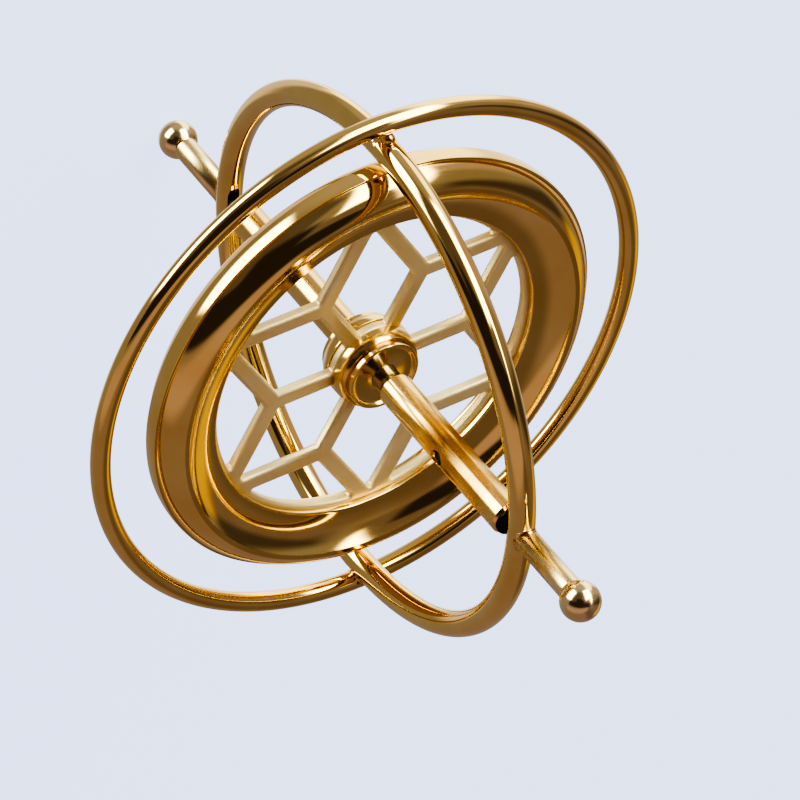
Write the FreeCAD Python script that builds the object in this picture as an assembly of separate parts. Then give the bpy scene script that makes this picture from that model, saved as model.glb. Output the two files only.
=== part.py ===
import FreeCAD, Part
import math
import os

# Toy gyroscope: a heavy rotor on an axle, free to spin inside a cage of two round-wire rings
# at right angles, with a ball-ended stud at each pole of the cage.
# Millimetres. The spin axis is +Z. The meridian ring lies in the XZ plane, the equator ring is level,
# and the origin is the lowest point of the lower ball, the point that the gyroscope stands on.
# Heights along the axle are counted from the middle of the cage.

# Cage rings
cage_outer_diameter = 65.0
equator_wire_diameter = 2.1
meridian_wire_diameter = 2.8
crossing_gap = 0.4             # filled by braze where the rings cross

# Braze at the crossings
crossing_braze_spread = 2.4    # width where it meets each wire
crossing_braze_waist = 1.7
crossing_braze_climb = 0.6     # how far it reaches round each wire
crossing_bead_diameter = 1.3   # bead left in the corner above the joint
crossing_bead_rise = 0.15      # from the side of the braze to the middle of the bead

# Ball studs at the poles
ball_diameter = 4.2
stud_length = 9.4              # outside of the meridian ring to the centre of the ball
stud_diameter = 2.6
ball_shoulder_radius = 0.3     # small fillet between stud and ball
tenon_length = 1.2             # part of the stud that sits in the ring's pole hole
pole_braze_width = 0.3
pole_braze_height = 0.35
pole_braze_hollow = 0.06

# Pivots and their cups
journal_diameter = 0.9
journal_clearance = 0.05       # radial, between journal and cup
end_play = 0.12                # axial, between journal end and cup floor
cup_wall = 0.3
cup_floor = 0.35
cup_lip_chamfer = 0.12
shoulder_gap = 0.2             # from the thin end of a pivot's cone to the cup
pivot_cone_length = 0.2
pivot_cone_diameter = 1.3
pivot_flange_thickness = 0.35
pivot_spigot_diameter = 1.4
pivot_spigot_length = 1.6

# Axle
axle_diameter = 2.8
sleeve_wall = 0.45
sleeve_gap = 1.8               # bare axle between a hub collar and its sleeve
sleeve_chamfer = 0.2
sleeve_taper_depth = 0.25      # the taper at the outer end, down to the pivot's flange
sleeve_taper_length = 0.6
cord_hole_diameter = 1.6
cord_hole_height = 15.6
cord_hole_chamfer = 0.15

# Rotor rim
rotor_clearance = 1.35         # between the rim and the inside of the meridian ring
rim_width = 7.05               # from the opening to the outside
rim_band_height = 1.8          # raised band round the outside
rim_band_crown = 0.09          # how much the middle of the band stands proud of its edges
rim_band_step = 0.22           # from an edge of the band in to the shoulder
rim_shoulder_sag = 0.32        # bulge of the shoulder from the band up to the crest
rim_crest_inset = 2.4          # from the outside to the crest
rim_crest_height = 3.05        # above the mid-plane
rim_crest_width = 0.5
rim_crest_fall = 0.05          # over the width of the crest
rim_dish_sag = 0.28            # hollow of the side from the crest down to the lip
rim_lip_wall = 0.7             # on each side of the web's groove
rim_lip_fillet = 0.2
rim_seat_depth = 1.0           # groove in the opening that holds the web

# Web of branching spokes
web_thickness = 1.2
web_ring_width = 0.55          # visible part of the web's outer ring
spoke_count = 6
spoke_width = 1.9
first_spoke_angle = 32.0       # degrees from +X
spoke_node_radius = 11.6       # where a spoke splits into two arms
arm_turn = 60.0                # degrees between a spoke and each of its arms

# Hub
hub_radius = 4.8
hub_half_height = 2.15
hub_barrel_drop = 0.45         # how much smaller the hub is at its faces
collar_step = 0.3              # from the edge of a hub face to the collar on it
collar_height = 0.75
collar_floor = 0.35            # of the dish, where it meets the wall under the lip
collar_floor_rise = 0.25       # from there in to the axle
collar_dish_sag = 0.08
collar_wall_inset = 0.25       # slope of that wall
collar_wall_sag = 0.06
collar_lip_width = 0.45
collar_lip_crown = 0.1
collar_groove_depth = 0.12
collar_groove_height = 0.15

# Radii of the two rings' wire centres
equator_radius = (cage_outer_diameter - equator_wire_diameter) / 2
meridian_radius = equator_radius - (equator_wire_diameter + meridian_wire_diameter) / 2 - crossing_gap
meridian_inside = meridian_radius - meridian_wire_diameter / 2
meridian_outside = meridian_radius + meridian_wire_diameter / 2

# Diameters and places that follow from a fit
pole_hole_diameter = journal_diameter + 2 * (journal_clearance + cup_wall)
sleeve_diameter = axle_diameter + 2 * sleeve_wall
sleeve_face_diameter = sleeve_diameter - 2 * sleeve_taper_depth
cup_end = meridian_outside - tenon_length
journal_end = cup_end - cup_floor - end_play
flange_face = meridian_inside - shoulder_gap - pivot_cone_length
sleeve_end = flange_face - pivot_flange_thickness
ball_reach = meridian_outside + stud_length
cage_centre_height = ball_reach + ball_diameter / 2

rim_outer_radius = meridian_inside - rotor_clearance
rim_band_radius = rim_outer_radius - rim_band_crown
rim_crest_radius = rim_outer_radius - rim_crest_inset
rim_opening_radius = rim_outer_radius - rim_width
rim_seat_floor = rim_opening_radius + rim_seat_depth
hub_face_radius = hub_radius - hub_barrel_drop
collar_radius = hub_face_radius - collar_step
collar_top = hub_half_height + collar_height

Up = FreeCAD.Vector(0, 0, 1)
Along_y = FreeCAD.Vector(0, 1, 0)
Centre = FreeCAD.Vector(0, 0, cage_centre_height)


def section_point(point):
    """A (radius, height) point of a turned section, in the plane that is spun."""
    return Centre + FreeCAD.Vector(point[0], 0, point[1])


def line(start, end):
    return Part.LineSegment(section_point(start), section_point(end)).toShape()


def arc(start, middle, end):
    return Part.Arc(section_point(start), section_point(middle), section_point(end)).toShape()


def bowed(start, end, sag):
    """An arc that stands off its chord by sag, to the right of the way from start to end."""
    run = (end[0] - start[0], end[1] - start[1])
    length = math.hypot(run[0], run[1])
    middle = ((start[0] + end[0]) / 2 + sag * run[1] / length,
              (start[1] + end[1]) / 2 - sag * run[0] / length)
    return arc(start, middle, end)


def outline(points):
    """Straight edges from point to point."""
    return [line(points[i], points[i + 1]) for i in range(len(points) - 1)]


def turn(edges, base=Centre, axis=Up):
    """Spin a closed section about an axis."""
    face = Part.Face(Part.Wire(Part.__sortEdges__(edges)))
    return face.revolve(base, axis, 360)


def turn_polygon(points):
    return turn(outline(points + points[:1]))


def flipped(shape):
    """The same piece at the other end of the axle."""
    return shape.mirror(Centre, Up)


def upright_cylinder(radius, low, high):
    return Part.makeCylinder(radius, high - low, Centre + Up * low, Up)


def save(name, shape):
    """Write one node, and report the solids that it holds."""
    shape.exportStep("parts/" + name + ".step")
    print(name, len(shape.Solids), "solid", round(shape.Volume, 2), "mm3", shape.isValid())


def equator_wire():
    return Part.makeTorus(equator_radius, equator_wire_diameter / 2, Centre, Up)


def meridian_wire():
    return Part.makeTorus(meridian_radius, meridian_wire_diameter / 2, Centre, Along_y)


def meridian_ring():
    """The thicker ring, drilled through at both poles."""
    return meridian_wire().cut(upright_cylinder(pole_hole_diameter / 2, -meridian_outside, meridian_outside))


def crossing_braze(side):
    """Braze that fills the gap at one crossing of the rings, with a bead left in the corner above."""
    middle = side * (meridian_outside + crossing_gap / 2)
    reach = crossing_gap / 2 + crossing_braze_climb
    waist = crossing_braze_waist / 2
    spread = crossing_braze_spread / 2
    inner = (middle - side * reach, spread)
    outer = (middle + side * reach, spread)
    edges = [arc(inner, (middle, waist), outer),
             line(outer, (outer[0], 0)),
             line((outer[0], 0), (inner[0], 0)),
             line((inner[0], 0), inner)]
    flare = turn(edges, Centre, FreeCAD.Vector(side, 0, 0))
    bead_place = section_point((middle, waist + crossing_bead_rise))
    bead = Part.makeSphere(crossing_bead_diameter / 2, bead_place)
    return flare.fuse(bead).cut(equator_wire()).cut(meridian_wire())


def upper_stud():
    """Turned in one piece: a tenon for the pole hole, a stud cut to the round of the wire, and the ball."""
    stud = stud_diameter / 2
    ball = ball_diameter / 2
    tenon = upright_cylinder(pole_hole_diameter / 2, cup_end, ball_reach)
    shank = upright_cylinder(stud, meridian_radius, ball_reach).cut(meridian_wire())
    # the fillet's circle touches the stud on one side and the ball on the other
    circle_out = stud + ball_shoulder_radius
    circle_down = math.sqrt((ball + ball_shoulder_radius) ** 2 - circle_out ** 2)
    circle_height = ball_reach - circle_down
    half_turn = math.atan2(circle_down, circle_out) / 2
    on_stud = (stud, circle_height)
    on_fillet = (circle_out - ball_shoulder_radius * math.cos(half_turn),
                 circle_height + ball_shoulder_radius * math.sin(half_turn))
    touch = ball / (ball + ball_shoulder_radius)
    on_ball = (circle_out * touch, ball_reach - circle_down * touch)
    shoulder = turn([arc(on_stud, on_fillet, on_ball)]
                    + outline([on_ball, (0, on_ball[1]), (0, circle_height), on_stud]))
    head = Part.makeSphere(ball, Centre + Up * ball_reach)
    return tenon.fuse([shank, shoulder, head]).removeSplitter()


def upper_pole_braze():
    """A thin ring of braze round the root of the stud."""
    stud = stud_diameter / 2
    foot = (stud + pole_braze_width, meridian_outside - pole_braze_height)
    top = (stud, meridian_outside + pole_braze_height)
    ring = turn([bowed(foot, top, -pole_braze_hollow)]
                + outline([top, (stud, meridian_radius), (foot[0], meridian_radius), foot]))
    return ring.cut(meridian_wire())


def upper_cup():
    """Bearing bush pressed into the pole of the meridian ring from inside."""
    outer = pole_hole_diameter / 2
    bore = journal_diameter / 2 + journal_clearance
    floor = cup_end - cup_floor
    return turn_polygon([(bore + cup_lip_chamfer, meridian_inside), (outer, meridian_inside),
                         (outer, cup_end), (0, cup_end), (0, floor), (bore, floor),
                         (bore, meridian_inside + cup_lip_chamfer)])


def upper_pivot():
    """Blackened steel pivot: spigot in the axle, flange on the sleeve, cone and journal."""
    spigot = pivot_spigot_diameter / 2
    flange = sleeve_face_diameter / 2
    cone = pivot_cone_diameter / 2
    journal = journal_diameter / 2
    start = sleeve_end - pivot_spigot_length
    return turn_polygon([(0, start), (spigot, start), (spigot, sleeve_end), (flange, sleeve_end),
                         (flange, flange_face), (cone, flange_face),
                         (journal, flange_face + pivot_cone_length), (journal, journal_end), (0, journal_end)])


def cord_hole():
    """Cross hole that the pull cord is threaded through, along Y."""
    start = Centre + Up * cord_hole_height - Along_y * sleeve_diameter
    return Part.makeCylinder(cord_hole_diameter / 2, 2 * sleeve_diameter, start, Along_y)


def cord_hole_countersink(side):
    """The cone that breaks the edge of the hole on one side of the sleeve."""
    radius = cord_hole_diameter / 2
    outside = sleeve_diameter / 2
    depth = cord_hole_chamfer + outside - math.sqrt(outside ** 2 - radius ** 2)
    place = Centre + Up * cord_hole_height + Along_y * (side * outside)
    return Part.makeCone(radius + cord_hole_chamfer, radius, depth, place, Along_y * -side)


def axle():
    """Steel core, bored at both ends for the pivots' spigots."""
    core = upright_cylinder(axle_diameter / 2, -sleeve_end, sleeve_end)
    socket = upright_cylinder(pivot_spigot_diameter / 2, sleeve_end - pivot_spigot_length, sleeve_end)
    return core.cut([socket, flipped(socket), cord_hole()])


def plain_sleeve():
    inner = axle_diameter / 2
    outer = sleeve_diameter / 2
    start = collar_top + sleeve_gap
    return turn_polygon([(inner, start), (outer - sleeve_chamfer, start), (outer, start + sleeve_chamfer),
                         (outer, sleeve_end - sleeve_taper_length), (sleeve_face_diameter / 2, sleeve_end),
                         (inner, sleeve_end)])


def drilled_sleeve():
    return plain_sleeve().cut([cord_hole(), cord_hole_countersink(1), cord_hole_countersink(-1)])


def rim_side(sign):
    """Upper or lower half of the rim's section, from the edge of the band round to the web's seat."""
    band = rim_band_height / 2
    seat = web_thickness / 2
    lip = seat + rim_lip_wall
    lip_fillet = min(rim_lip_fillet, rim_lip_wall / 2)
    corner = lip_fillet * (1 - math.sqrt(0.5))
    band_edge = (rim_band_radius, sign * band)
    step_foot = (rim_band_radius - rim_band_step, sign * band)
    crest_outer = (rim_crest_radius, sign * rim_crest_height)
    crest_inner = (rim_crest_radius - rim_crest_width, sign * (rim_crest_height - rim_crest_fall))
    lip_outer = (rim_opening_radius + lip_fillet, sign * lip)
    lip_bow = (rim_opening_radius + corner, sign * (lip - corner))
    lip_inner = (rim_opening_radius, sign * (lip - lip_fillet))
    return [line(band_edge, step_foot),
            bowed(step_foot, crest_outer, sign * rim_shoulder_sag),
            line(crest_outer, crest_inner),
            bowed(lip_outer, crest_inner, sign * rim_dish_sag),
            arc(lip_outer, lip_bow, lip_inner)] + outline([lip_inner, (rim_opening_radius, sign * seat),
                                                           (rim_seat_floor, sign * seat), (rim_seat_floor, 0)])


def rotor_rim():
    """Heavy rim with a raised band round it, rounded shoulders and dished sides."""
    band = rim_band_height / 2
    crown = arc((rim_band_radius, -band), (rim_outer_radius, 0), (rim_band_radius, band))
    return turn([crown] + rim_side(1) + rim_side(-1))


def bar(start, end):
    """A flat strip of the web between two points of its plane, rounded where it starts."""
    run = end - start
    low = Up * (-web_thickness / 2)
    strip = Part.makeBox(run.Length, spoke_width, web_thickness, low - Along_y * (spoke_width / 2))
    strip.rotate(FreeCAD.Vector(0, 0, 0), Up, math.degrees(math.atan2(run.y, run.x)))
    strip.translate(start + Centre)
    return [strip, Part.makeCylinder(spoke_width / 2, web_thickness, start + Centre + low, Up)]


def heading(degrees):
    """Unit vector in the web's plane."""
    return FreeCAD.Vector(math.cos(math.radians(degrees)), math.sin(math.radians(degrees)), 0)


def spoke(number):
    """One spoke from the hub to its node, and the two arms that run on from there to the rim."""
    angle = first_spoke_angle + 360.0 / spoke_count * number
    ring = rim_opening_radius + web_ring_width / 2
    node = heading(angle) * spoke_node_radius
    pieces = bar(FreeCAD.Vector(0, 0, 0), node)
    for side in (-1, 1):
        arm = heading(angle + side * arm_turn)
        inward = node.dot(arm)
        reach = math.sqrt(inward ** 2 + ring ** 2 - spoke_node_radius ** 2) - inward
        pieces += bar(node, node + arm * reach)
    return pieces


def rotor_web():
    """Stamped disc: hub ring, branching spokes and the outer ring that sits in the rim's groove."""
    low = -web_thickness / 2
    high = web_thickness / 2
    disc = upright_cylinder(rim_seat_floor, low, high)
    web = upright_cylinder(hub_radius, low, high)
    pieces = [disc.cut(upright_cylinder(rim_opening_radius - web_ring_width, low, high))]
    for number in range(spoke_count):
        pieces += spoke(number)
    return web.fuse(pieces).common(disc).cut(upright_cylinder(axle_diameter / 2, low, high)).removeSplitter()


def upper_hub_half():
    """Half of the barrel hub: a cap that clamps the web from one side."""
    bore = axle_diameter / 2
    seat = web_thickness / 2
    rise = hub_half_height - seat
    chord = math.hypot(hub_barrel_drop, rise)
    # the barrel starts upright at the web, so its circle is centred level with the seat
    barrel_radius = chord ** 2 / (2 * hub_barrel_drop)
    barrel_sag = barrel_radius - math.sqrt(barrel_radius ** 2 - (chord / 2) ** 2)
    foot = (hub_radius, seat)
    edge = (hub_face_radius, hub_half_height)
    return turn([bowed(foot, edge, barrel_sag)]
                + outline([edge, (bore, hub_half_height), (bore, seat), foot]))


def upper_collar():
    """Dished collar pressed on the axle against the hub, with a groove behind its lip."""
    bore = axle_diameter / 2
    groove_top = hub_half_height + collar_groove_height
    neck = collar_radius - collar_groove_depth
    lip_edge = collar_top - collar_lip_crown
    lip_outer = (collar_radius, lip_edge)
    lip_inner = (collar_radius - collar_lip_width, lip_edge)
    wall_foot = (lip_inner[0] - collar_wall_inset, hub_half_height + collar_floor)
    dish_foot = (bore, wall_foot[1] + collar_floor_rise)
    return turn([bowed(dish_foot, wall_foot, collar_dish_sag),
                 bowed(wall_foot, lip_inner, collar_wall_sag),
                 bowed(lip_outer, lip_inner, collar_lip_crown)]
                + outline([lip_outer, (collar_radius, groove_top), (neck, groove_top),
                           (neck, hub_half_height), (bore, hub_half_height), dish_foot]))


os.makedirs("parts", exist_ok=True)

save("equator_ring", equator_wire())
save("meridian_ring", meridian_ring())
save("left_crossing_braze", crossing_braze(-1))
save("right_crossing_braze", crossing_braze(1))

mirrored_pairs = {"ball_stud": upper_stud(),
                  "pole_braze": upper_pole_braze(),
                  "pivot_cup": upper_cup(),
                  "pivot": upper_pivot(),
                  "hub_half": upper_hub_half(),
                  "hub_collar": upper_collar()}
for piece, shape in mirrored_pairs.items():
    save("upper_" + piece, shape)
    save("lower_" + piece, flipped(shape))

save("axle", axle())
save("upper_axle_sleeve", drilled_sleeve())
save("lower_axle_sleeve", flipped(plain_sleeve()))
save("rotor_rim", rotor_rim())
save("rotor_web", rotor_web())
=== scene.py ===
import math

import bmesh
import bpy
from mathutils import Matrix, Vector
from mathutils.geometry import tessellate_polygon


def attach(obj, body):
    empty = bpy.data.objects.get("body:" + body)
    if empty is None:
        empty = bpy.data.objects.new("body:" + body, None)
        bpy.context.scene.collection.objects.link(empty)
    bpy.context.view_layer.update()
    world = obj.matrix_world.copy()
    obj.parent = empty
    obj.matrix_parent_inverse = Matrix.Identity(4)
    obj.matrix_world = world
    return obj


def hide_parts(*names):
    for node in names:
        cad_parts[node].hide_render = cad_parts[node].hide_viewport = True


# Toy gyroscope in metres. The dictionaries hold millimetres and degrees, and heights are counted
# from the middle of the cage.
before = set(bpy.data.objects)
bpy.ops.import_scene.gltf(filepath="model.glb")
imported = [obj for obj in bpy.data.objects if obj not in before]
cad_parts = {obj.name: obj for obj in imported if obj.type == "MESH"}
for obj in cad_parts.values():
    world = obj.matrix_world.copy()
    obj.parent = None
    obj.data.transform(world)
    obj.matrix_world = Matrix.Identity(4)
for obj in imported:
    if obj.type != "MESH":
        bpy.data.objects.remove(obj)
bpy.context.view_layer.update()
scene = bpy.context.scene
scene.view_settings.view_transform = "AgX"
scene.view_settings.look = "AgX - Very High Contrast"
mm = 0.001
cageMiddle = 41.5
cageCentre = (0.0, 0.0, cageMiddle * mm)
bothEnds = (("upper", 1), ("lower", -1))
colourA, colourB, colourOut = 6, 7, 2    # a Mix node's colour sockets share their names with others


def fromHex(text):
    # sRGB hex to linear colour
    channels = [int(text[i:i + 2], 16) / 255 for i in (1, 3, 5)]
    return tuple(c / 12.92 if c <= 0.04045 else ((c + 0.055) / 1.055) ** 2.4 for c in channels) + (1.0,)


def lit(tint, brightness):
    return tuple(c * brightness for c in fromHex(tint)[:3]) + (1.0,)


def addNode(tree, kind, inputs=None, **settings):
    # one node with its settings, values and links
    node = tree.nodes.new(kind)
    for key, value in settings.items():
        setattr(node, key, value)
    for socket, value in (inputs or {}).items():
        if isinstance(value, bpy.types.NodeSocket):
            tree.links.new(value, node.inputs[socket])
        else:
            node.inputs[socket].default_value = value
    return node


# Where the camera stands; its clip distances are in metres
cameraValues = {"azimuth": 120.94, "elevation": 37.278, "roll": 138.948, "distance": 534.65,
                "sideways": 3.025, "upward": -4.065, "lens": 236.14, "sensor": 36.0, "clip": (0.01, 20.0)}


def studioAxes():
    # right, up and backward of the camera, in the object's frame
    azimuth, elevation, roll = (math.radians(cameraValues[k]) for k in ("azimuth", "elevation", "roll"))
    backward = Vector((math.sin(azimuth) * math.cos(elevation), -math.cos(azimuth) * math.cos(elevation),
                       math.sin(elevation)))
    level = Vector((math.cos(azimuth), math.sin(azimuth), 0))
    upright = backward.cross(level)
    right = level * math.cos(roll) + upright * math.sin(roll)
    return right, backward.cross(right), backward


def makeCamera():
    right, up, backward = studioAxes()
    data = bpy.data.cameras.new("camera")
    data.sensor_width = cameraValues["sensor"]
    data.lens = cameraValues["lens"]
    data.clip_start, data.clip_end = cameraValues["clip"]
    camera = bpy.data.objects.new("camera", data)
    scene.collection.objects.link(camera)
    place = (backward * cameraValues["distance"] + right * cameraValues["sideways"]
             + up * cameraValues["upward"] + Vector((0, 0, cageMiddle))) * mm
    turn = Matrix((right, up, backward)).transposed().to_4x4()
    camera.matrix_world = Matrix.Translation(place) @ turn
    scene.camera = camera


# Soft panels of the studio: place (degrees round the object from behind it, and up), full width and
# height and soft edge in degrees, tilt, tint and brightness. Later ones lie over earlier ones.
studioPanels = [
    ("sweep", 8, 32, 55, 55, 12, -2, "#FFFAF2", 1.05),
    ("topSweep", 61, 61, 150, 30, 12, 4, "#FFFFF0", 1.65),
    ("rightWall", 69, 32, 102, 21, 14, -19, "#FFECF4", 0.42),
    ("rightGap", 82, -6, 52, 24, 14, 17, "#FFECF4", 0.09),
    ("rightFloor", 73, -25, 58, 26, 12, 5, "#FFE9F4", 0.20),
    ("underDusk", 88, -53, 86, 30, 20, 0, "#FFE6E6", 0.16),
    ("warmGlow", 50, -22, 16, 34, 9, 0, "#FFDC80", 0.60),
    ("columnShade", 199, 19, 54, 62, 9, -12, "#FFF0F4", 0.14),
    ("rightSoftbox", 135, 22, 36, 74, 6, 0, "#FFFFE8", 5.0),
    ("rightShade", 141, -12, 39, 43, 6, 21, "#FFECF4", 0.19),
    ("leftSoftbox", 242, 33, 31, 45, 7, -22, "#FFFFE8", 6.0),
    ("lensSide", 190, -20, 112, 32, 7, -8, "#FFECFA", 0.045),
    ("lensBar", 183, 1, 41, 24, 10, -10, "#FFECFA", 0.045),
    ("floorGlow", 208, -52, 107, 28, 12, -12, "#FFE2E6", 0.39),
    ("window", 332, 24, 33, 55, 12, 14, "#FFF6F6", 0.60),
]
# Tint and brightness of the bare studio, and between which heights it changes, as the height's sine
studioBase = {"below": ("#FFE6EC", 0.25), "level": ("#FAF4F8", 0.27), "above": ("#FAF4F8", 0.40),
              "rise": (-0.87, 0.0), "crown": (0.77, 0.995)}


def softPanelGroup():
    # 1 inside a soft-edged panel that is seen from the middle, 0 outside it
    tree = bpy.data.node_groups.new("softPanel", "ShaderNodeTree")
    for name in ("Direction", "Across", "Upright", "Facing"):
        tree.interface.new_socket(name, in_out="INPUT", socket_type="NodeSocketVector")
    for name in ("Half width", "Half height", "Edge"):
        tree.interface.new_socket(name, in_out="INPUT", socket_type="NodeSocketFloat")
    tree.interface.new_socket("Mask", in_out="OUTPUT", socket_type="NodeSocketFloat")
    given = addNode(tree, "NodeGroupInput").outputs
    depth = addNode(tree, "ShaderNodeVectorMath", {0: given["Direction"], 1: given["Facing"]},
                    operation="DOT_PRODUCT").outputs["Value"]
    masks = []
    for axis, half in (("Across", "Half width"), ("Upright", "Half height")):
        offset = addNode(tree, "ShaderNodeVectorMath", {0: given["Direction"], 1: given[axis]},
                         operation="DOT_PRODUCT").outputs["Value"]
        angle = addNode(tree, "ShaderNodeMath", {0: offset, 1: depth}, operation="ARCTAN2").outputs[0]
        size = addNode(tree, "ShaderNodeMath", {0: angle}, operation="ABSOLUTE").outputs[0]
        border = {0: given[half], 1: given["Edge"]}
        inner = addNode(tree, "ShaderNodeMath", border, operation="SUBTRACT").outputs[0]
        outer = addNode(tree, "ShaderNodeMath", border, operation="ADD").outputs[0]
        fade = {"Value": size, "From Min": inner, "From Max": outer, "To Min": 1.0, "To Max": 0.0}
        masks.append(addNode(tree, "ShaderNodeMapRange", fade, interpolation_type="SMOOTHSTEP").outputs[0])
    both = addNode(tree, "ShaderNodeMath", {0: masks[0], 1: masks[1]}, operation="MULTIPLY").outputs[0]
    addNode(tree, "NodeGroupOutput", {"Mask": both})
    return tree


def studioDirection(azimuth, elevation):
    right, up, backward = studioAxes()
    level = right * math.sin(math.radians(azimuth)) - backward * math.cos(math.radians(azimuth))
    return level * math.cos(math.radians(elevation)) + up * math.sin(math.radians(elevation))


def makeStudio():
    world = bpy.data.worlds.new("studio")
    scene.world = world
    world.use_nodes = True
    tree = world.node_tree
    tree.nodes.clear()
    right, up, backward = studioAxes()
    direction = addNode(tree, "ShaderNodeTexCoord").outputs["Generated"]
    height = addNode(tree, "ShaderNodeVectorMath", {0: direction, 1: up},
                     operation="DOT_PRODUCT").outputs["Value"]
    colour = lit(*studioBase["below"])
    for step, following in (("rise", "level"), ("crown", "above")):
        low, high = studioBase[step]
        factor = addNode(tree, "ShaderNodeMapRange", {"Value": height, "From Min": low, "From Max": high},
                         interpolation_type="SMOOTHSTEP").outputs[0]
        mixed = {"Factor": factor, colourA: colour, colourB: lit(*studioBase[following])}
        colour = addNode(tree, "ShaderNodeMix", mixed, data_type="RGBA").outputs[colourOut]
    group = softPanelGroup()
    for name, azimuth, elevation, width, tall, edge, tilt, tint, brightness in studioPanels:
        facing = studioDirection(azimuth, elevation)
        across = up.cross(facing).normalized()
        upright = facing.cross(across)
        spin = Matrix.Rotation(math.radians(tilt), 3, facing)
        panel = {"Direction": direction, "Across": spin @ across, "Upright": spin @ upright, "Facing": facing,
                 "Half width": math.radians(width / 2), "Half height": math.radians(tall / 2),
                 "Edge": math.radians(edge / 2)}
        mask = addNode(tree, "ShaderNodeGroup", panel, node_tree=group, label=name).outputs[0]
        mixed = {"Factor": mask, colourA: colour, colourB: lit(tint, brightness)}
        colour = addNode(tree, "ShaderNodeMix", mixed, data_type="RGBA").outputs[colourOut]
    shader = addNode(tree, "ShaderNodeBackground", {"Color": colour, "Strength": 1.0})
    addNode(tree, "ShaderNodeOutputWorld", {"Surface": shader.outputs[0]})
    print("studio:", len(studioPanels), "soft panels")


# Reach of the floor and backdrop, their tint, what each gives off, and what the floor paints back
stageValues = {"floorReach": 3000.0, "domeRadius": 2800.0, "domeSteps": (32, 16), "colour": "#CFDAFF",
               "glow": 1.61, "floorGlow": 1.40, "floorPaint": 0.26}


def domeMesh():
    mesh = bpy.data.meshes.new("backdrop")
    around, upward = stageValues["domeSteps"]
    work = bmesh.new()
    bmesh.ops.create_uvsphere(work, u_segments=around, v_segments=upward,
                              radius=stageValues["domeRadius"] * mm)
    work.to_mesh(mesh)
    work.free()
    return mesh


def makeStage():
    # a plain pale floor, and a pale backdrop that only the camera sees
    floorMesh = bpy.data.meshes.new("floor")
    reach = stageValues["floorReach"] * mm
    corners = [(-reach, -reach, 0), (reach, -reach, 0), (reach, reach, 0), (-reach, reach, 0)]
    floorMesh.from_pydata(corners, [], [(0, 1, 2, 3)])
    floor = bpy.data.objects.new("floor", floorMesh)
    scene.collection.objects.link(floor)
    floor.visible_glossy = False
    dome = bpy.data.objects.new("backdrop", domeMesh())
    scene.collection.objects.link(dome)
    for ray in ("diffuse", "glossy", "transmission", "volume_scatter", "shadow"):
        setattr(dome, "visible_" + ray, False)
    tint = stageValues["colour"]
    for piece, glow, spread in ((floor, stageValues["floorGlow"], stageValues["floorPaint"]),
                                (dome, stageValues["glow"], 0.0)):
        material = bpy.data.materials.new(piece.name + "Paint")
        material.use_nodes = True
        tree = material.node_tree
        tree.nodes.clear()
        light = addNode(tree, "ShaderNodeEmission", {"Color": fromHex(tint), "Strength": glow})
        paint = addNode(tree, "ShaderNodeBsdfDiffuse", {"Color": lit(tint, spread)})
        both = addNode(tree, "ShaderNodeAddShader", {0: light.outputs[0], 1: paint.outputs[0]})
        addNode(tree, "ShaderNodeOutputMaterial", {"Surface": both.outputs[0]})
        piece.data.materials.append(material)


def arcPoints(start, end, sag, count):
    # points of an arc that stands off its chord by sag, to the right of the way from start to end
    run = (end[0] - start[0], end[1] - start[1])
    length = math.hypot(*run)
    half = 2 * math.atan2(2 * abs(sag), length)
    radius = length / (2 * math.sin(half))
    side = math.copysign(1, sag)
    along = (run[0] / length, run[1] / length)
    points = []
    for i in range(count + 1):
        angle = half * (2 * i / count - 1)
        forward = length / 2 + radius * math.sin(angle)
        out = side * radius * (math.cos(angle) - math.cos(half))
        points.append((start[0] + along[0] * forward + along[1] * out,
                       start[1] + along[1] * forward - along[0] * out))
    return points


def circlePoints(centre, radius, first, last, count):
    angles = [math.radians(first + (last - first) * i / count) for i in range(count + 1)]
    return [(centre[0] + radius * math.cos(a), centre[1] + radius * math.sin(a)) for a in angles]


def onSide(outline, side):
    # an outline of (radius, height) as drawn for the upper end, or turned over for the lower one
    return [(radius, side * height) for radius, height in outline]


# Corners sharper than this are rounded in so many steps, and take at most a share of a run. A run
# longer than so many supports gets a point that far from each rounded corner, which keeps it flat.
easeValues = {"steps": 4, "sharpest": 24, "share": 0.45, "support": 0.03, "longRun": 5}


def eased(points, radius, closed, count=easeValues["steps"], sharpest=easeValues["sharpest"]):
    amount = len(points)
    support = easeValues["support"]
    result = []
    for i, corner in enumerate(points):
        if not closed and i in (0, amount - 1):
            result.append((corner, False))
            continue
        before, after = Vector(points[i - 1]), Vector(points[(i + 1) % amount])
        here = Vector(corner)
        coming, going = here - before, after - here
        turn = coming.angle(going)
        if math.degrees(turn) < sharpest:
            result.append((corner, False))
            continue
        room = easeValues["share"] * min(coming.length, going.length)
        reach = min(radius * math.tan(turn / 2), room)
        curve = reach / math.tan(turn / 2)
        start = here - coming.normalized() * reach
        side = 1 if coming.cross(going) > 0 else -1
        inward = Vector((-coming.y, coming.x)).normalized() * side
        centre = start + inward * curve
        for j in range(count + 1):
            spin = Matrix.Rotation(side * turn * j / count, 2)
            place = centre + spin @ (start - centre)
            result.append(((place.x, place.y), True))
    full = []
    steps = len(result) if closed else len(result) - 1
    for i in range(steps):
        (a, roundA), (b, roundB) = result[i], result[(i + 1) % len(result)]
        full.append(a)
        run = Vector(b) - Vector(a)
        if run.length > easeValues["longRun"] * support:
            unit = run.normalized() * support
            if roundA:
                full.append((a[0] + unit.x, a[1] + unit.y))
            if roundB:
                full.append((b[0] - unit.x, b[1] - unit.y))
    if not closed:
        full.append(result[-1][0])
    return full


weldDistance = 1e-7    # metres: points nearer than this are one
onAxis = 1e-6          # a radius or offset smaller than this is on the axis


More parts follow.
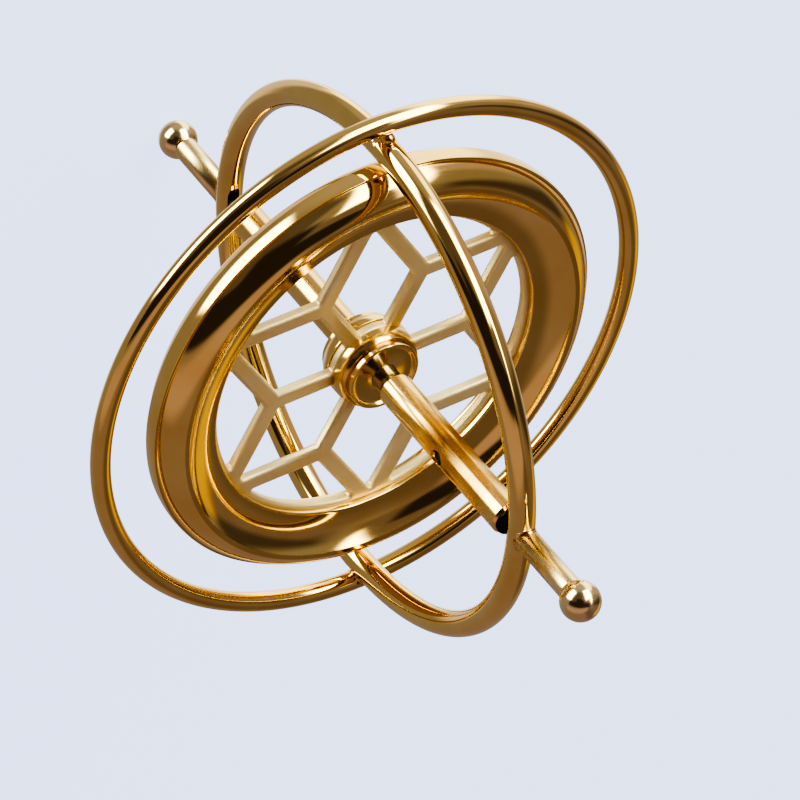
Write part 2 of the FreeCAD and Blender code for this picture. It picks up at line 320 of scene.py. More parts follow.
def pieceFromMesh(mesh, name):
    mesh.name = name
    piece = bpy.data.objects.new(name, mesh)
    scene.collection.objects.link(piece)
    return piece


def smoothOutward(work):
    bmesh.ops.recalc_face_normals(work, faces=work.faces)
    for face in work.faces:
        face.smooth = True


def tidied(work, name):
    # a mesh with its doubles merged and its faces smooth and outwards
    bmesh.ops.remove_doubles(work, verts=work.verts, dist=weldDistance)
    smoothOutward(work)
    mesh = bpy.data.meshes.new(name)
    work.to_mesh(mesh)
    work.free()
    return mesh


def spunRings(work, outline, steps):
    # a ring of points for each (radius, height) of an outline, or one point where it meets the axis
    angles = [2 * math.pi * k / steps for k in range(steps)]
    rings = []
    for radius, height in outline:
        if radius < onAxis:
            rings.append([work.verts.new((0, 0, height))] * steps)
        else:
            rings.append([work.verts.new((radius * math.cos(a), radius * math.sin(a), height))
                          for a in angles])
    return rings


def skin(work, rows, joined=True):
    # faces between neighbouring rows of points, where each row is joined end to start or left open
    for low, high in zip(rows, rows[1:]):
        for i in range(len(low) if joined else len(low) - 1):
            j = (i + 1) % len(low)
            corners = list(dict.fromkeys([low[i], low[j], high[j], high[i]]))
            if len(corners) > 2:
                work.faces.new(corners)


def placed(work, tip=None, height=0.0):
    # puts a shape drawn in millimetres in its place, laid on its side about an axis first if one is given
    if tip:
        quarter = Matrix.Rotation(math.radians(90), 3, tip)
        bmesh.ops.rotate(work, verts=work.verts, cent=(0, 0, 0), matrix=quarter)
    place = Matrix.Scale(mm, 4) @ Matrix.Translation((0, 0, cageMiddle + height))
    bmesh.ops.transform(work, verts=work.verts, matrix=place)


def turned(name, outline, steps, closed, tip=None):
    # spins an outline about the axle; a closed one is a loop, and an open one starts and ends on the axis
    work = bmesh.new()
    rings = spunRings(work, outline, steps)
    skin(work, rings + rings[:1] if closed else rings)
    placed(work, tip)
    return tidied(work, name)


def turnedPiece(name, outline, steps, closed):
    return pieceFromMesh(turned(name, outline, steps, closed), name)


def settled(piece):
    # turns what the modifiers make into the piece's plain mesh
    depsgraph = bpy.context.evaluated_depsgraph_get()
    result = bpy.data.meshes.new_from_object(piece.evaluated_get(depsgraph))
    piece.modifiers.clear()
    result.name = piece.data.name
    piece.data = result
    work = bmesh.new()
    work.from_mesh(result)
    smoothOutward(work)
    work.to_mesh(result)
    work.free()
    return piece


def finished(piece, body, metal, node):
    # dresses a piece in its finish, hangs it on what it rides on and hides the part of model.glb that it
    # stands for
    piece.data.materials.clear()
    piece.data.materials.append(metals[metal])
    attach(piece, body)
    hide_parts(node)


# Which part of the noise makes a change in tone or gloss, how fine the noise is, and how far marks
# are drawn out along the axle
noiseValues = {"tone": (0.35, 0.65), "wear": (0.7, 1.3), "cloudDetail": 3.0, "rippleDetail": 1.0,
               "markDetail": 2.0, "roughness": 0.55, "drawnOut": 0.04}


def metalFinish(name, look):
    # a metal's colour, gloss and fine relief, all worked out from sizes in millimetres
    material = bpy.data.materials.new(name)
    material.use_nodes = True
    tree = material.node_tree
    tree.nodes.clear()
    place = addNode(tree, "ShaderNodeTexCoord").outputs["Object"]
    centred = addNode(tree, "ShaderNodeVectorMath", {0: place, 1: cageCentre},
                      operation="SUBTRACT").outputs[0]
    tip = (math.radians(look.get("tip", 0)), 0, 0)
    tipped = addNode(tree, "ShaderNodeMapping", {"Vector": centred, "Rotation": tip},
                     vector_type="POINT").outputs[0]
    x, y, z = addNode(tree, "ShaderNodeSeparateXYZ", {0: tipped}).outputs
    section = tipped
    if look["marks"] == "round":
        # marks run round the axle, as a lathe or a drawing die leaves them
        flat = addNode(tree, "ShaderNodeCombineXYZ", {0: x, 1: y}).outputs[0]
        radius = addNode(tree, "ShaderNodeVectorMath", {0: flat}, operation="LENGTH").outputs["Value"]
        section = addNode(tree, "ShaderNodeCombineXYZ", {0: radius, 2: z}).outputs[0]
    elif look["marks"] == "along":
        # marks run along the axle
        short = addNode(tree, "ShaderNodeMath", {0: z, 1: noiseValues["drawnOut"]},
                        operation="MULTIPLY").outputs[0]
        section = addNode(tree, "ShaderNodeCombineXYZ", {0: x, 1: y, 2: short}).outputs[0]

    def noise(vector, size, detail):
        return addNode(tree, "ShaderNodeTexNoise",
                       {"Vector": vector, "Scale": 1 / (size * mm), "Detail": detail,
                        "Roughness": noiseValues["roughness"]}).outputs["Fac"]

    rippleSize, rippleHeight = look["ripple"]
    markSize, markHeight = look["mark"]
    clouds = noise(centred, look["clouds"], noiseValues["cloudDetail"])
    ripple = noise(centred, rippleSize, noiseValues["rippleDetail"])
    marks = noise(section, markSize, noiseValues["markDetail"])
    low, high = noiseValues["tone"]
    shade = addNode(tree, "ShaderNodeMapRange",
                    {"Value": clouds, "From Min": low, "From Max": high}).outputs[0]
    mixed = {"Factor": shade, colourA: fromHex(look["colour"]), colourB: fromHex(look["deep"])}
    colour = addNode(tree, "ShaderNodeMix", mixed, data_type="RGBA").outputs[colourOut]
    wear = addNode(tree, "ShaderNodeMath", {0: clouds, 1: marks}, operation="ADD").outputs[0]
    low, high = noiseValues["wear"]
    smooth, rough = look["roughness"]
    gloss = addNode(tree, "ShaderNodeMapRange", {"Value": wear, "From Min": low, "From Max": high,
                                                 "To Min": smooth, "To Max": rough}).outputs[0]
    if "polished" in look:
        # what lies further out than this is polished by what it stands on
        start, end, share = look["polished"]
        distance = addNode(tree, "ShaderNodeMath", {0: z}, operation="ABSOLUTE").outputs[0]
        dulled = addNode(tree, "ShaderNodeMapRange", {"Value": distance, "From Min": start * mm,
                                                      "From Max": end * mm, "To Min": 1.0,
                                                      "To Max": share}).outputs[0]
        gloss = addNode(tree, "ShaderNodeMath", {0: gloss, 1: dulled}, operation="MULTIPLY").outputs[0]
    waves = addNode(tree, "ShaderNodeBump", {"Height": ripple, "Strength": 1.0,
                                             "Distance": rippleHeight * mm}).outputs[0]
    relief = addNode(tree, "ShaderNodeBump", {"Height": marks, "Strength": 1.0, "Distance": markHeight * mm,
                                              "Normal": waves}).outputs[0]
    shader = addNode(tree, "ShaderNodeBsdfPrincipled", {"Base Color": colour, "Metallic": 1.0,
                                                        "Roughness": gloss, "Normal": relief})
    addNode(tree, "ShaderNodeOutputMaterial", {"Surface": shader.outputs[0]})
    return material


# Clouds of tone by their size, waves (ripple) and tool marks by their size and height
finishes = {
    # drawn brass wire, gold plated and polished: mirror bright, with a faint draw along the wire
    "platedWire": {"colour": "#FADB92", "deep": "#F4D186", "marks": "round", "roughness": (0.05, 0.10),
                   "clouds": 6.0, "ripple": (2.6, 0.004), "mark": (0.35, 0.0004)},
    # turned brass, gold plated and buffed: soft mirror with turning lines that can just be seen
    "buffedRotor": {"colour": "#FADB92", "deep": "#F4CF84", "marks": "round", "roughness": (0.06, 0.10),
                    "clouds": 9.0, "ripple": (5.0, 0.006), "mark": (0.30, 0.0006)},
    # stamped brass sheet, tumbled round at its edges and plated without polishing: satin, and coloured pale
    # as painted highlight for the glints that the spin smears along the spokes
    "satinGlintStamping": {"colour": "#FFF0C8", "deep": "#FCE8B4", "marks": "none", "roughness": (0.54, 0.62),
                      "clouds": 5.0, "ripple": (2.4, 0.003), "mark": (0.3, 0.0002)},
    # turned brass, gold plated: soft mirror with fine turning lines
    "turnedHub": {"colour": "#F9D990", "deep": "#F2CF80", "marks": "round", "roughness": (0.11, 0.17),
                  "clouds": 3.0, "ripple": (1.6, 0.003), "mark": (0.14, 0.0006)},
    # turned brass, thinly plated and left dull, except that the balls are worn bright
    "turnedStud": {"colour": "#FAE4B0", "deep": "#F3D8A0", "marks": "round", "roughness": (0.28, 0.36),
                   "clouds": 2.4, "ripple": (1.6, 0.002), "mark": (0.12, 0.0010),
                   "polished": (37.3, 37.9, 0.5)},
    # drawn brass tube, plated as drawn: soft shine with streaks along it
    "drawnSleeve": {"colour": "#F9D792", "deep": "#F2CB82", "marks": "along", "roughness": (0.15, 0.21),
                    "clouds": 4.0, "ripple": (4.0, 0.002), "mark": (0.22, 0.0006)},
    # braze left as it flowed, plated over: a little rough and uneven
    "platedBraze": {"colour": "#F4D696", "deep": "#E2B470", "marks": "none", "roughness": (0.14, 0.26),
                    "clouds": 0.9, "ripple": (0.45, 0.018), "mark": (0.1, 0.0008)},
    # plain brass bush, reamed and left unplated
    "bushBrass": {"colour": "#C9A25C", "deep": "#B08A48", "marks": "round", "roughness": (0.2, 0.3),
                  "clouds": 0.8, "ripple": (0.6, 0.002), "mark": (0.06, 0.0006)},
    # ground steel, bright
    "groundSteel": {"colour": "#C9C7C3", "deep": "#B4B1AC", "marks": "round", "roughness": (0.12, 0.2),
                    "clouds": 1.5, "ripple": (0.8, 0.002), "mark": (0.08, 0.0008)},
    # steel coloured near black with a dull shine: the black is painted shade, the dark gap between the
    # sleeve's end and the ring
    "shadeBlackSteel": {"colour": "#2A2724", "deep": "#1C1A18", "marks": "round", "roughness": (0.25, 0.38),
                      "clouds": 0.9, "ripple": (0.6, 0.002), "mark": (0.08, 0.0010)},
}
finishes["platedWireUpright"] = dict(finishes["platedWire"], tip=90)
metals = {name: metalFinish(name, look) for name, look in finishes.items()}
print("finishes:", len(metals))


# Middle radius and wire diameter of each ring, and how far it stands up from the equator
ringValues = {"equator": {"radius": 31.45, "wire": 2.1, "tip": 0.0, "finish": "platedWire"},
              "meridian": {"radius": 28.6, "wire": 2.8, "tip": 90.0, "finish": "platedWireUpright"},
              "steps": 288, "sides": 36}


def geometryTree(name, result, sizes):
    # an empty tree that gives one shape, and the sockets of its named inputs
    tree = bpy.data.node_groups.new(name, "GeometryNodeTree")
    tree.interface.new_socket(result, in_out="OUTPUT", socket_type="NodeSocketGeometry")
    for socket, kind in sizes.items():
        tree.interface.new_socket(socket, in_out="INPUT", socket_type="NodeSocket" + kind)
    return tree, addNode(tree, "NodeGroupInput").outputs


def wireRingTree():
    # bends a round wire into a ring and stands it up
    tree, given = geometryTree("bentWireRing", "Ring", {
        "Ring radius": "Float", "Wire radius": "Float", "Steps": "Int", "Sides": "Int",
        "Stand up": "Rotation", "Middle": "Vector", "Finish": "Material"})
    path = addNode(tree, "GeometryNodeCurvePrimitiveCircle",
                   {"Resolution": given["Steps"], "Radius": given["Ring radius"]}).outputs[0]
    section = addNode(tree, "GeometryNodeCurvePrimitiveCircle",
                      {"Resolution": given["Sides"], "Radius": given["Wire radius"]}).outputs[0]
    wire = addNode(tree, "GeometryNodeCurveToMesh", {0: path, "Profile Curve": section}).outputs[0]
    stood = addNode(tree, "GeometryNodeTransform", {0: wire, "Rotation": given["Stand up"],
                                                    "Translation": given["Middle"]}).outputs[0]
    real = addNode(tree, "GeometryNodeRealizeInstances", {0: stood}).outputs[0]
    dressed = addNode(tree, "GeometryNodeSetMaterial", {0: real, "Material": given["Finish"]}).outputs[0]
    addNode(tree, "NodeGroupOutput", {0: dressed})
    return tree


def runTree(piece, tree, inputs):
    modifier = piece.modifiers.new(tree.name, "NODES")
    modifier.node_group = tree
    for item in tree.interface.items_tree:
        if item.in_out == "INPUT" and item.name in inputs:
            modifier[item.identifier] = inputs[item.name]
    return settled(piece)


def makeRings():
    tree = wireRingTree()
    for which in ("equator", "meridian"):
        look = ringValues[which]
        piece = pieceFromMesh(bpy.data.meshes.new(which + "Ring"), which + "Ring")
        runTree(piece, tree, {"Ring radius": look["radius"] * mm, "Wire radius": look["wire"] / 2 * mm,
                              "Steps": ringValues["steps"], "Sides": ringValues["sides"],
                              "Stand up": (math.radians(look["tip"]), 0.0, 0.0), "Middle": cageCentre,
                              "Finish": metals[look["finish"]]})
        finished(piece, "cage", look["finish"], which + "_ring")
    print("rings: done")


# Braze where the rings cross: a waisted collar between the two wires, and a bead left in the corner
crossingValues = {"middle": 30.2, "reach": 0.95, "spread": 1.35, "waist": 0.85, "waistSteps": 16, "sides": 32,
                  "bead": 0.68, "beadRise": 0.98, "beadDetail": 3, "grain": 0.09, "softness": 0.5,
                  "softening": 5}


def blendedMesh(name, parts, look):
    # joins overlapping closed shapes into one skin and softens it, as metal that has flowed
    work = bmesh.new()
    for part in parts:
        work.from_mesh(part)
        bpy.data.meshes.remove(part)
    mesh = bpy.data.meshes.new(name)
    work.to_mesh(mesh)
    work.free()
    piece = pieceFromMesh(mesh, name)
    joined = piece.modifiers.new("skin", "REMESH")
    joined.mode, joined.voxel_size = "VOXEL", look["grain"] * mm
    soft = piece.modifiers.new("soft", "SMOOTH")
    soft.factor, soft.iterations = look["softness"], look["softening"]
    return settled(piece)


def makeCrossings():
    look = crossingValues
    inside, outside = look["middle"] - look["reach"], look["middle"] + look["reach"]
    waist = arcPoints((look["spread"], inside), (look["spread"], outside), look["waist"] - look["spread"],
                      look["waistSteps"])
    outline = [(0.0, inside)] + waist + [(0.0, outside)]
    for side, word in ((-1, "left"), (1, "right")):
        flare = turned("flare", onSide(outline, side), look["sides"], False, tip="Y")
        corner = Vector((side * look["middle"], 0, cageMiddle + look["beadRise"])) * mm
        bead = bmesh.new()
        bmesh.ops.create_icosphere(bead, subdivisions=look["beadDetail"], radius=look["bead"] * mm,
                                   matrix=Matrix.Translation(corner))
        piece = blendedMesh(word + "CrossingBraze", [flare, tidied(bead, "bead")], look)
        finished(piece, "cage", "platedBraze", word + "_crossing_braze")
    print("crossings: done")


# Turned stud with its ball, and the ring and wire radius that it stands on
studValues = {"ball": 2.1, "ballMiddle": 39.4, "ballSteps": 40, "stud": 1.3, "shoulder": 0.3,
              "shoulderSteps": 8, "shoulderGap": 0.05, "root": 28.4, "steps": 72, "ring": 28.6, "wire": 1.4}
# Braze round the root: how far it climbs and spreads, its hollow, and its hidden corners in the metal
rootValues = {"climb": 0.3, "spread": 0.26, "hollow": 0.05, "hollowSteps": 6, "wireMargin": 0.015,
              "inset": 0.15, "topDepth": 0.1, "footDepth": 0.2, "toeInset": 0.08, "toeDepth": 0.15}


def wireSurface(x, y):
    # height of the upright ring's outer surface over a point beside its pole
    return math.sqrt((studValues["ring"] + math.sqrt(studValues["wire"] ** 2 - y ** 2)) ** 2 - x ** 2)


def saddleFillet(name, side):
    # braze that follows the saddle-shaped root of a stud on the wire, a closed ring of small sections
    look, stud, steps = rootValues, studValues["stud"], studValues["steps"]
    reach, inner = stud + look["spread"], stud - look["inset"]
    work = bmesh.new()
    rows = []
    for k in range(steps):
        angle = 2 * math.pi * k / steps
        x, y = math.cos(angle), math.sin(angle)
        top = (stud, wireSurface(stud * x, stud * y) + look["climb"])
        across = min(abs(reach * y), studValues["wire"] - look["wireMargin"])
        out = math.hypot(reach * x, across)
        foot = (out, wireSurface(reach * x, across))
        section = arcPoints(foot, top, -look["hollow"], look["hollowSteps"])
        section += [(inner, top[1] - look["topDepth"]), (inner, foot[1] - look["footDepth"]),
                    (out - look["toeInset"], foot[1] - look["toeDepth"])]
        slant = math.atan2(math.copysign(across, y) if abs(y) > onAxis else 0.0, reach * x)
        row = []
        for radius, height in section:
            turn = slant if radius > stud else angle
            row.append(work.verts.new((radius * math.cos(turn), radius * math.sin(turn), side * height)))
        rows.append(row)
    skin(work, rows + rows[:1])
    placed(work)
    return tidied(work, name)


def makeStuds():
    look = studValues
    stud, ball, shoulder, middle = look["stud"], look["ball"], look["shoulder"], look["ballMiddle"]
    out = stud + shoulder
    down = math.sqrt((ball + shoulder) ** 2 - out ** 2)
    touch = math.degrees(math.atan2(-down, out))
    outline = [(0.0, look["root"]), (stud, look["root"]), (stud, middle - down - look["shoulderGap"])]
    outline += circlePoints((out, middle - down), shoulder, 180, 180 + touch, look["shoulderSteps"])
    outline += circlePoints((0, middle), ball, touch, 90, look["ballSteps"])[1:-1]
    outline += [(0.0, middle + ball)]
    for word, side in bothEnds:
        piece = turnedPiece(word + "BallStud", onSide(outline, side), look["steps"], False)
        finished(piece, "cage", "turnedStud", word + "_ball_stud")
        piece = pieceFromMesh(saddleFillet(word + "PoleBraze", side), word + "PoleBraze")
        finished(piece, "cage", "platedBraze", word + "_pole_braze")
    print("studs: done")


# Steel core in two gold sleeves, with rings of points close together where the cord hole is bored
axleValues = {"core": 1.4, "sleeve": 1.85, "sleeveStart": 4.7, "sleeveBreak": 0.2, "taperStart": 26.15,
              "sleeveEnd": 26.45, "face": 1.6, "edge": 0.06, "sharpest": 15, "bands": 21, "bandWidth": 0.22,
              "steps": 96}
# Pivot in the sleeve's end, coloured near black as painted shade: spigot, flange, short cone and journal
pivotValues = {"spigot": 0.7, "spigotStart": 24.85, "flangeFace": 26.8, "coneFoot": 0.65, "coneEnd": 27.0,
               "journal": 0.45, "journalEnd": 28.33}
# Blind cup in the ring's pole, in which the journal runs
cupValues = {"outer": 0.8, "bore": 0.5, "face": 27.2, "floor": 28.45, "end": 28.8, "break": 0.12,
             "edge": 0.03, "steps": 48}
# Cord hole, and the countersinking bit that bores it; edges turned more than crisp stay sharp
holeValues = {"height": 15.6, "radius": 0.8, "break": 0.17, "flare": 1.2, "over": 0.05, "bitReach": 4.0,
              "bitSpread": 1.0, "crisp": 28, "steps": 48}


def pivotOutline():
    look, end, face = pivotValues, axleValues["sleeveEnd"], axleValues["face"]
    outside = eased([(look["spigot"], look["spigotStart"]), (look["spigot"], end), (face, end),
                     (face, look["flangeFace"]), (look["coneFoot"], look["flangeFace"]),
                     (look["journal"], look["coneEnd"]), (look["journal"], look["journalEnd"])],
                    axleValues["edge"], False)
    return [(0.0, look["spigotStart"])] + outside + [(0.0, look["journalEnd"])]


def cupOutline():
    look = cupValues
    outside = eased([(look["bore"] + look["break"], look["face"]), (look["outer"], look["face"]),
                     (look["outer"], look["end"])], look["edge"], False)
    return outside + [(0.0, look["end"]), (0.0, look["floor"]), (look["bore"], look["floor"]),
                      (look["bore"], look["face"] + look["break"])]


def makeAxle():
    look = axleValues
    core, sleeve, end = look["core"], look["sleeve"], look["sleeveEnd"]
    bands = [holeValues["height"] + (i - look["bands"] // 2) * look["bandWidth"]
             for i in range(look["bands"])]
    tube = [(core, look["sleeveStart"]), (sleeve - look["sleeveBreak"], look["sleeveStart"]),
            (sleeve, look["sleeveStart"] + look["sleeveBreak"])]
    tube += [(sleeve, height) for height in bands]
    tube += [(sleeve, look["taperStart"]), (look["face"], end), (core, end)]
    tube = eased(tube, look["edge"], True, sharpest=look["sharpest"])
    pivot, cup, bit = pivotOutline(), cupOutline(), holeBit()
    for word, side in bothEnds:
        # the pivot is coloured near black as painted shade at the sleeve's end
        piece = turnedPiece(word + "Pivot", onSide(pivot, side), look["steps"], False)
        finished(piece, "rotor", "shadeBlackSteel", word + "_pivot")
        piece = turnedPiece(word + "PivotCup", onSide(cup, side), cupValues["steps"], True)
        finished(piece, "cage", "bushBrass", word + "_pivot_cup")
        piece = turnedPiece(word + "AxleSleeve", onSide(tube, side), look["steps"], True)
        if word == "upper":
            boreWith(bit, piece)
        finished(piece, "rotor", "drawnSleeve", word + "_axle_sleeve")
    rod = [(0.0, -end), (core, -end)] + [(core, height) for height in bands] + [(core, end), (0.0, end)]
    piece = turnedPiece("axleCore", rod, look["steps"], False)
    boreWith(bit, piece)
    finished(piece, "rotor", "groundSteel", "axle")
    bpy.data.objects.remove(bit)
    print("axle: done")


def holeBit():
    # a round bit with a countersink for each side of the sleeve
    look, sleeve = holeValues, axleValues["sleeve"]
    surface = math.sqrt(sleeve ** 2 - look["radius"] ** 2)
    rim = look["radius"] + look["break"] * look["flare"]
    outline = [(rim + look["bitSpread"], -look["bitReach"]), (rim, -sleeve - look["over"]),
               (look["radius"], -surface + look["break"])]
    outline += onSide(outline, -1)[::-1]
    work = bmesh.new()
    rings = spunRings(work, outline, look["steps"])
    skin(work, rings)
    work.faces.new(rings[0])
    work.faces.new(rings[-1])
    placed(work, "X", look["height"])
    return pieceFromMesh(tidied(work, "bit"), "bit")


def boreWith(bit, piece):
    modifier = piece.modifiers.new("bore", "BOOLEAN")
    modifier.object = bit
    modifier.solver = "EXACT"
    settled(piece)
    work = bmesh.new()
    work.from_mesh(piece.data)
    for edge in work.edges:
        if len(edge.link_faces) == 2 and edge.calc_face_angle() > math.radians(holeValues["crisp"]):
            edge.smooth = False
    work.to_mesh(piece.data)
    work.free()


# Barrel hub in two halves, and on each a dished collar with a crowned lip and a fine groove behind it
hubValues = {"bore": 1.4, "radius": 4.8, "faceRadius": 4.35, "seat": 0.6, "top": 2.15, "barrelSteps": 10,
             "collar": 4.05, "neck": 3.93, "grooveTop": 2.3, "lip": 3.6, "lipEdge": 2.8, "lipCrown": 0.1,
             "lipSteps": 10, "wallFoot": (3.35, 2.5), "wallSag": 0.06, "wallSteps": 6, "dishFoot": 2.75,
             "dishSag": 0.08, "dishSteps": 12, "edge": 0.07, "steps": 128}


def makeHub():
    look = hubValues
    rise, drop = look["top"] - look["seat"], look["radius"] - look["faceRadius"]
    chord = math.hypot(rise, drop)
    barrel = chord ** 2 / (2 * drop)
    sag = barrel - math.sqrt(barrel ** 2 - (chord / 2) ** 2)
    half = arcPoints((look["radius"], look["seat"]), (look["faceRadius"], look["top"]), sag,
                     look["barrelSteps"])
    half = eased(half + [(look["bore"], look["top"]), (look["bore"], look["seat"])], look["edge"], True)
    lip = (look["lip"], look["lipEdge"])
    collar = arcPoints((look["bore"], look["dishFoot"]), look["wallFoot"], look["dishSag"], look["dishSteps"])
    collar += arcPoints(look["wallFoot"], lip, look["wallSag"], look["wallSteps"])[1:]
    collar += arcPoints((look["collar"], look["lipEdge"]), lip, look["lipCrown"], look["lipSteps"])[::-1][1:]
    collar += [(look["collar"], look["grooveTop"]), (look["neck"], look["grooveTop"]),
               (look["neck"], look["top"]), (look["bore"], look["top"])]
    collar = eased(collar, look["edge"], True)
    for word, side in bothEnds:
        for part, outline, node in (("HubHalf", half, "_hub_half"), ("HubCollar", collar, "_hub_collar")):
            piece = turnedPiece(word + part, onSide(outline, side), look["steps"], True)
            finished(piece, "rotor", "turnedHub", word + node)
    print("hub: done")


# Heavy rim: a raised band round it, round shoulders up to the crest, and a dish down to its opening
rimValues = {"outside": 25.85, "bandEdge": 25.76, "bandHalf": 0.9, "bandSteps": 12, "stepFoot": 25.54,
             "shoulderSag": 0.32, "shoulderSteps": 24, "crest": (23.45, 3.05), "crestInner": (22.95, 3.0),
             "dishSag": 0.44, "dishSteps": 28, "opening": 18.8, "lip": 1.3, "lipEase": 0.2, "lipSteps": 5,
             "seat": 0.6, "seatFloor": 19.8, "edge": 0.05, "sharpest": 20, "steps": 288}


def makeRim():
    # half of the section goes from the middle of the band up over the shoulder and down the dish
    look = rimValues
    edge, half, ease = look["bandEdge"], look["bandHalf"], look["lipEase"]
    foot = look["opening"] + ease
    band = arcPoints((edge, -half), (edge, half), look["outside"] - edge, look["bandSteps"])
    upper = band[look["bandSteps"] // 2:]
    upper += arcPoints((look["stepFoot"], half), look["crest"], look["shoulderSag"], look["shoulderSteps"])
    upper += arcPoints((foot, look["lip"]), look["crestInner"], look["dishSag"], look["dishSteps"])[::-1]
    upper += circlePoints((foot, look["lip"] - ease), ease, 90, 180, look["lipSteps"])[1:]
    upper += [(look["opening"], look["seat"]), (look["seatFloor"], look["seat"])]
    outline = eased(upper + onSide(upper, -1)[::-1][:-1], look["edge"], True, sharpest=look["sharpest"])
    piece = turnedPiece("rotorRim", outline, look["steps"], True)
    finished(piece, "rotor", "buffedRotor", "rotor_rim")
    print("rim: done", len(piece.data.polygons))


# Stamped web: spokes that split into two arms at the node radius, between a hub and an outer ring.
# Half is half of its thickness, and edge how far the stamped edges are rounded over.
webValues = {"spokes": 6, "firstAngle": 32.0, "halfWidth": 0.95, "nodeRadius": 11.6, "armTurn": 60.0,
             "half": 0.6, "bore": 1.4, "boreSteps": 8, "hub": 4.8, "hubSteps": 5, "ring": 18.25,
             "ringSteps": 12, "outer": 19.8, "outerSteps": 16, "punchCorner": 0.35, "cornerSteps": 6,
             "apexSteps": 4, "edge": 0.42, "edgeSteps": 7, "support": 0.03, "sharpLimit": 0.5, "weld": 0.002}


def windowOutlines():
    # the stamping's windows beside one spoke that lies along X: the small one between its arms, and
    # the half of the large one on its left
    look = webValues
    half, node, ring = look["halfWidth"], Vector((look["nodeRadius"], 0)), look["ring"]
    arm = Vector((math.cos(math.radians(look["armTurn"])), math.sin(math.radians(look["armTurn"]))))
    left = Vector((-arm.y, arm.x))
    border = math.radians(180 / look["spokes"])
    # small window: notch, along the arm's right side to the ring, round the ring and back
    start = node - left * half
    notch = start - arm * (start.y / arm.y)
    inward = notch.dot(arm)
    reach = math.sqrt(inward ** 2 + ring ** 2 - notch.length_squared) - inward
    tip = notch + arm * reach
    tipAngle = math.degrees(math.atan2(tip.y, tip.x))
    small = [tuple(notch)] + circlePoints((0, 0), ring, -tipAngle, tipAngle, look["ringSteps"])
    # large window, half of it: from the border at the hub to the border at the tip of the two arms
    start = node + left * half
    corner = start + arm * ((half - start.y) / arm.y)
    spokeAngle = math.degrees(math.asin(half / look["hub"]))
    large = circlePoints((0, 0), look["hub"], math.degrees(border), spokeAngle, look["hubSteps"])
    large += [tuple(corner)]
    along = (math.tan(border) * corner.x - corner.y) / (arm.y - math.tan(border) * arm.x)
    apex = corner + arm * along
    # the apex is rounded with its middle on the border
    away = Vector((math.cos(border), math.sin(border)))
    slope = arm.angle(away)
    centre = apex - away * (look["punchCorner"] / math.sin(slope))
    sideways = Vector((-away.y, away.x))
    rounding = []
    for i in range(look["apexSteps"] + 1):
        turn = (math.pi / 2 - slope) * i / look["apexSteps"] + slope
        lean = away * math.sin(turn) - sideways * math.cos(turn)
        rounding.append(tuple(centre + lean * look["punchCorner"]))
    small = eased(small, look["punchCorner"], True, count=look["cornerSteps"])
    large = eased(large, look["punchCorner"], False, count=look["cornerSteps"])
    return small, large + rounding


def widened(outline, amount, closed, borderAngle):
    # the outline moved by amount to the side away from the window, which lies on its left
    count = len(outline)
    border = Vector((math.cos(borderAngle), math.sin(borderAngle)))
    result = []
    for i, point in enumerate(outline):
        here = Vector(point)
        if not closed and i in (0, count - 1):
            result.append(here + border * math.copysign(amount, here.length - webValues["nodeRadius"]))
            continue
        coming = (here - Vector(outline[i - 1])).normalized()
        going = (Vector(outline[(i + 1) % count]) - here).normalized()
        normal = (coming + going).normalized()
        stretch = amount / max(webValues["sharpLimit"], normal.dot(coming))
        result.append(here + Vector((normal.y, -normal.x)) * stretch)
    return result


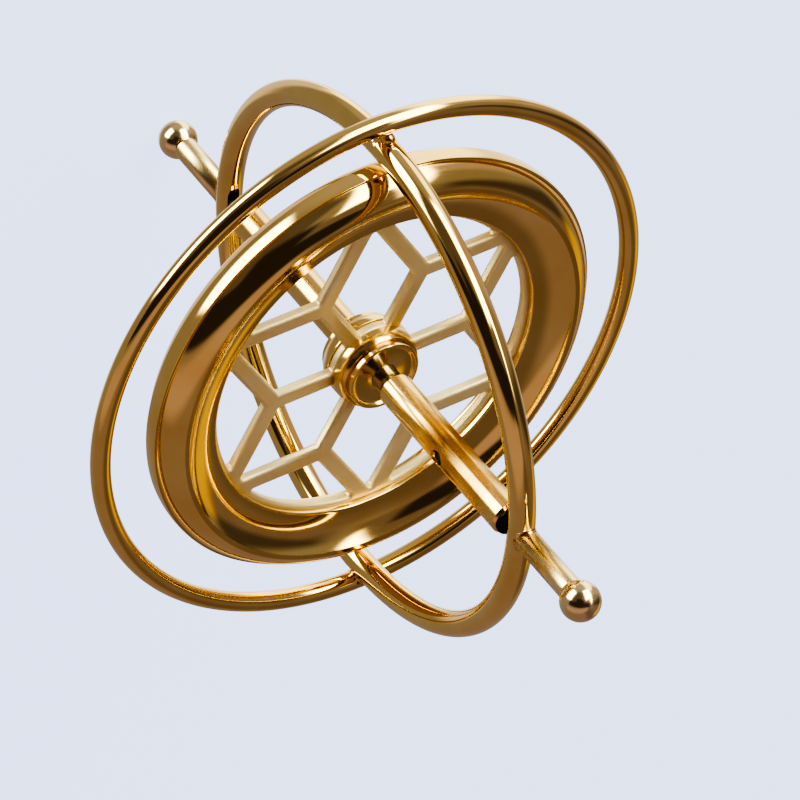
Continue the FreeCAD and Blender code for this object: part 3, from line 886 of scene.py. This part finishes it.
def webWedge():
    # the sixth of the web round one spoke, with its stamped edges rounded over
    look = webValues
    small, large = windowOutlines()
    border = math.pi / look["spokes"]
    levels = [(0.0, 0.0), (0.0, look["half"] - look["edge"] - look["support"])]
    for i in range(look["edgeSteps"] + 1):
        turn = math.pi / 2 * i / look["edgeSteps"]
        levels.append((look["edge"] * (1 - math.cos(turn)),
                       look["half"] - look["edge"] * (1 - math.sin(turn))))
    levels.append((look["edge"] + look["support"], look["half"]))
    work = bmesh.new()

    def strips(outline, closed, angle):
        rows = [[work.verts.new((p[0], p[1], height)) for p in widened(outline, amount, closed, angle)]
                for amount, height in levels]
        skin(work, rows, closed)
        return rows[-1]

    def wall(radius, steps):
        points = circlePoints((0, 0), radius, -math.degrees(border), math.degrees(border), steps)
        low, high = ([work.verts.new((x, y, height)) for x, y in points] for height in (0, look["half"]))
        skin(work, [low, high], False)
        return high

    bore, outside = wall(look["bore"], look["boreSteps"]), wall(look["outer"], look["outerSteps"])
    left = strips(large, False, border)
    right = strips([(x, -y) for x, y in reversed(large)], False, -border)
    loop = bore + left + outside[::-1] + right
    hole = strips(small, True, 0)
    corners = loop + hole
    for triple in tessellate_polygon([[v.co for v in loop], [v.co for v in hole]]):
        work.faces.new([corners[i] for i in triple])
    copied = bmesh.ops.duplicate(work, geom=work.verts[:] + work.edges[:] + work.faces[:])["geom"]
    for vert in (g for g in copied if isinstance(g, bmesh.types.BMVert)):
        vert.co.z = -vert.co.z
    bmesh.ops.scale(work, verts=work.verts, vec=(mm, mm, mm))
    return tidied(work, "webWedge")


def wheelWebTree():
    # repeats one wedge round the axle and welds the copies into one disc
    tree, given = geometryTree("wheelWeb", "Web", {
        "Wedge": "Geometry", "Spokes": "Int", "First angle": "Float", "Middle": "Vector",
        "Weld": "Float", "Finish": "Material"})
    share = addNode(tree, "ShaderNodeMath", {0: 2 * math.pi, 1: given["Spokes"]},
                    operation="DIVIDE").outputs[0]
    number = addNode(tree, "GeometryNodeInputIndex").outputs[0]
    angle = addNode(tree, "ShaderNodeMath", {0: number, 1: share, 2: given["First angle"]},
                    operation="MULTIPLY_ADD").outputs[0]
    turn = addNode(tree, "ShaderNodeCombineXYZ", {2: angle}).outputs[0]
    spots = addNode(tree, "GeometryNodePoints",
                    {"Count": given["Spokes"], "Position": given["Middle"]}).outputs[0]
    copies = addNode(tree, "GeometryNodeInstanceOnPoints",
                     {"Points": spots, "Instance": given["Wedge"], "Rotation": turn}).outputs[0]
    real = addNode(tree, "GeometryNodeRealizeInstances", {0: copies}).outputs[0]
    welded = addNode(tree, "GeometryNodeMergeByDistance",
                     {"Geometry": real, "Distance": given["Weld"]}).outputs[0]
    dressed = addNode(tree, "GeometryNodeSetMaterial", {0: welded, "Material": given["Finish"]}).outputs[0]
    addNode(tree, "NodeGroupOutput", {0: dressed})
    return tree


def makeWeb():
    look = webValues
    piece = pieceFromMesh(webWedge(), "rotorWeb")
    # the web's pale colour is painted highlight, for glints smeared by the spin
    runTree(piece, wheelWebTree(), {"Spokes": look["spokes"], "First angle": math.radians(look["firstAngle"]),
                                    "Middle": cageCentre, "Weld": look["weld"] * mm,
                                    "Finish": metals["satinGlintStamping"]})
    finished(piece, "rotor", "satinGlintStamping", "rotor_web")
    work = bmesh.new()
    work.from_mesh(piece.data)
    openEdges = sum(len(edge.link_faces) != 2 for edge in work.edges)
    print("web: done", len(work.faces), "faces,", openEdges, "open edges")
    work.free()


makeCamera()
makeStudio()
makeStage()
makeRings()
makeCrossings()
makeStuds()
makeAxle()
makeHub()
makeRim()
makeWeb()
